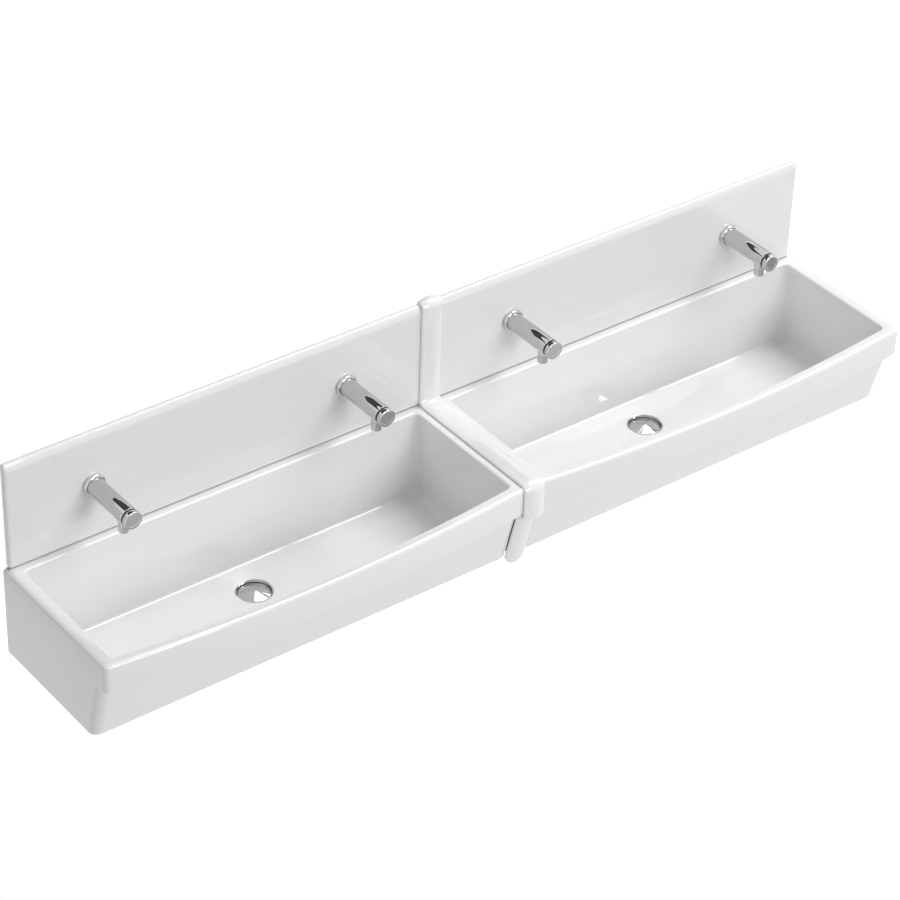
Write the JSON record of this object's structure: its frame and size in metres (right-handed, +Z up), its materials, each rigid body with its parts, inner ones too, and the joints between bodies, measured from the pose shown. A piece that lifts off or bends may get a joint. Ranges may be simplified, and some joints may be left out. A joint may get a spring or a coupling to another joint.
{
  "type": "trough sink",
  "caption": "Wall-hung white ceramic double trough sink with splashback, joint cover, push-button wall taps and lift-out domed wastes.",
  "frame": {"origin": "on the wall plane, midway between the two basins, on the line of the four fixing studs, 90 mm below the rim", "axes": "+X along the wall to the right, +Y into the wall, +Z up; the front faces -Y"},
  "size_m": [2.37, 0.537, 0.6135],
  "materials": {
    "glazed_fireclay": "white glaze, gloss",
    "white_sealant": "white silicone, satin",
    "grey_foam": "closed-cell foam, matt",
    "chrome": "polished chrome plate on brass",
    "brass": "turned, bare",
    "black_rubber": "matt",
    "black_plastic": "moulded, satin",
    "spring_steel": "drawn wire",
    "strainer_steel": "stainless, satin",
    "zinc_steel": "zinc plated",
    "white_nylon": "moulded nylon"
  },
  "bodies": {
    "sink": {"left_basin": "glazed_fireclay", "left_splashback": "glazed_fireclay", "left_sealant_bed": "white_sealant", "left_waste_cup": "chrome", "left_waste_gasket": "black_rubber", "left_waste_washer": "black_rubber", "left_waste_nut": "brass", "right_basin": "glazed_fireclay", "right_splashback": "glazed_fireclay", "right_sealant_bed": "white_sealant", "right_waste_cup": "chrome", "right_waste_gasket": "black_rubber", "right_waste_washer": "black_rubber", "right_waste_nut": "brass", "joint_cover": "glazed_fireclay", "joint_foam": "grey_foam", "tap_1_body": "chrome", "tap_1_rosette": "chrome", "tap_1_washer": "black_rubber", "tap_1_inlet": "brass", "tap_1_cartridge": "brass", "tap_1_guide": "black_plastic", "tap_1_spring": "spring_steel", "tap_1_strainer": "strainer_steel", "tap_2_body": "chrome", "tap_2_rosette": "chrome", "tap_2_washer": "black_rubber", "tap_2_inlet": "brass", "tap_2_cartridge": "brass", "tap_2_guide": "black_plastic", "tap_2_spring": "spring_steel", "tap_2_strainer": "strainer_steel", "tap_3_body": "chrome", "tap_3_rosette": "chrome", "tap_3_washer": "black_rubber", "tap_3_inlet": "brass", "tap_3_cartridge": "brass", "tap_3_guide": "black_plastic", "tap_3_spring": "spring_steel", "tap_3_strainer": "strainer_steel", "tap_4_body": "chrome", "tap_4_rosette": "chrome", "tap_4_washer": "black_rubber", "tap_4_inlet": "brass", "tap_4_cartridge": "brass", "tap_4_guide": "black_plastic", "tap_4_spring": "spring_steel", "tap_4_strainer": "strainer_steel", "stud_set": "zinc_steel", "stud_sleeves": "white_nylon", "stud_washers": "zinc_steel", "stud_nuts": "zinc_steel", "splash_clips": "zinc_steel", "clip_screws": "zinc_steel"},
    "tap_1_button": {"tap_1_button": "chrome"},
    "tap_2_button": {"tap_2_button": "chrome"},
    "tap_3_button": {"tap_3_button": "chrome"},
    "tap_4_button": {"tap_4_button": "chrome"},
    "left_waste_dome": {"left_waste_dome": "chrome"},
    "right_waste_dome": {"right_waste_dome": "chrome"}
  },
  "joints": [
    {"name": "tap_1_push", "type": "slide", "parent": "sink", "child": "tap_1_button", "axis": [0, 1, 0], "range_m": [0, 0.005], "stiffness_N_per_m": 1500, "springref_m": -0.006, "deforming": ["tap_1_spring"]},
    {"name": "tap_2_push", "type": "slide", "parent": "sink", "child": "tap_2_button", "axis": [0, 1, 0], "range_m": [0, 0.005], "stiffness_N_per_m": 1500, "springref_m": -0.006, "deforming": ["tap_2_spring"]},
    {"name": "tap_3_push", "type": "slide", "parent": "sink", "child": "tap_3_button", "axis": [0, 1, 0], "range_m": [0, 0.005], "stiffness_N_per_m": 1500, "springref_m": -0.006, "deforming": ["tap_3_spring"]},
    {"name": "tap_4_push", "type": "slide", "parent": "sink", "child": "tap_4_button", "axis": [0, 1, 0], "range_m": [0, 0.005], "stiffness_N_per_m": 1500, "springref_m": -0.006, "deforming": ["tap_4_spring"]},
    {"name": "left_dome_lift", "type": "slide", "parent": "sink", "child": "left_waste_dome", "axis": [0, 0, 1], "range_m": [0, 0.27]},
    {"name": "right_dome_lift", "type": "slide", "parent": "sink", "child": "right_waste_dome", "axis": [0, 0, 1], "range_m": [0, 0.27]}
  ]
}
